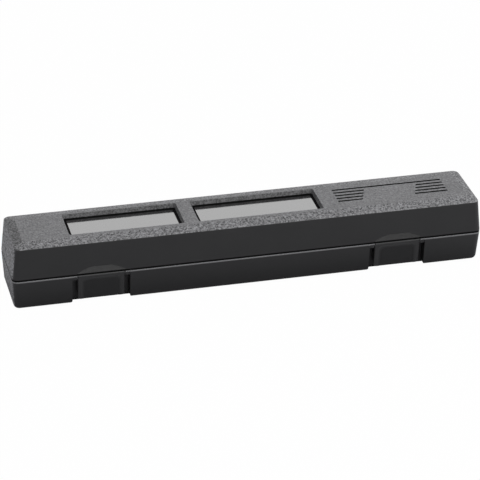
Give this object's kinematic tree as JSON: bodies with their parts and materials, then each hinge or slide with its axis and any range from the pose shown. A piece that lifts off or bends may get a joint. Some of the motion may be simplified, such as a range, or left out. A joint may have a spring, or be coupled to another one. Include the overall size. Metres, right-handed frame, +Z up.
{
  "type": "tool case",
  "caption": "Long narrow moulded case for one hand tool, with a hinged lid, two rocker latches, label recesses on top and shaped foam inside.",
  "frame": {"origin": "middle of the flat underside, which the case rests on", "axes": "+X along the case, from the end with the short label recess to the end with the grooves; the latches face -Y and the hinges +Y; +Z up"},
  "size_m": [0.5598, 0.095, 0.0815],
  "materials": {
    "shell_plastic": "matte",
    "latch_plastic": "satin",
    "plate_plastic": "gloss",
    "foam": "matte",
    "steel": "satin"
  },
  "bodies": {
    "base": {"base_shell": "shell_plastic", "foam_insert_left": "foam", "foam_insert_middle": "foam", "foam_insert_right": "foam", "latch_pin_left": "steel", "latch_pin_right": "steel", "hinge_pin_left": "steel", "hinge_pin_centre": "steel", "hinge_pin_right": "steel"},
    "lid": {"lid_shell": "shell_plastic", "lid_foam": "foam", "label_plate_short": "plate_plastic", "label_plate_long": "plate_plastic"},
    "latch_left": {"latch_left": "latch_plastic"},
    "latch_right": {"latch_right": "latch_plastic"}
  },
  "joints": [
    {"name": "lid_hinge", "type": "hinge", "parent": "base", "child": "lid", "pos_m": [0, 0.0478, 0.0385], "axis": [-1, 0, 0], "range_deg": [0, 160]},
    {"name": "latch_left_pivot", "type": "hinge", "parent": "base", "child": "latch_left", "pos_m": [-0.177, -0.0384, 0.033], "axis": [-1, 0, 0], "range_deg": [0, 25]},
    {"name": "latch_right_pivot", "type": "hinge", "parent": "base", "child": "latch_right", "pos_m": [0.177, -0.0384, 0.033], "axis": [-1, 0, 0], "range_deg": [0, 25]}
  ]
}
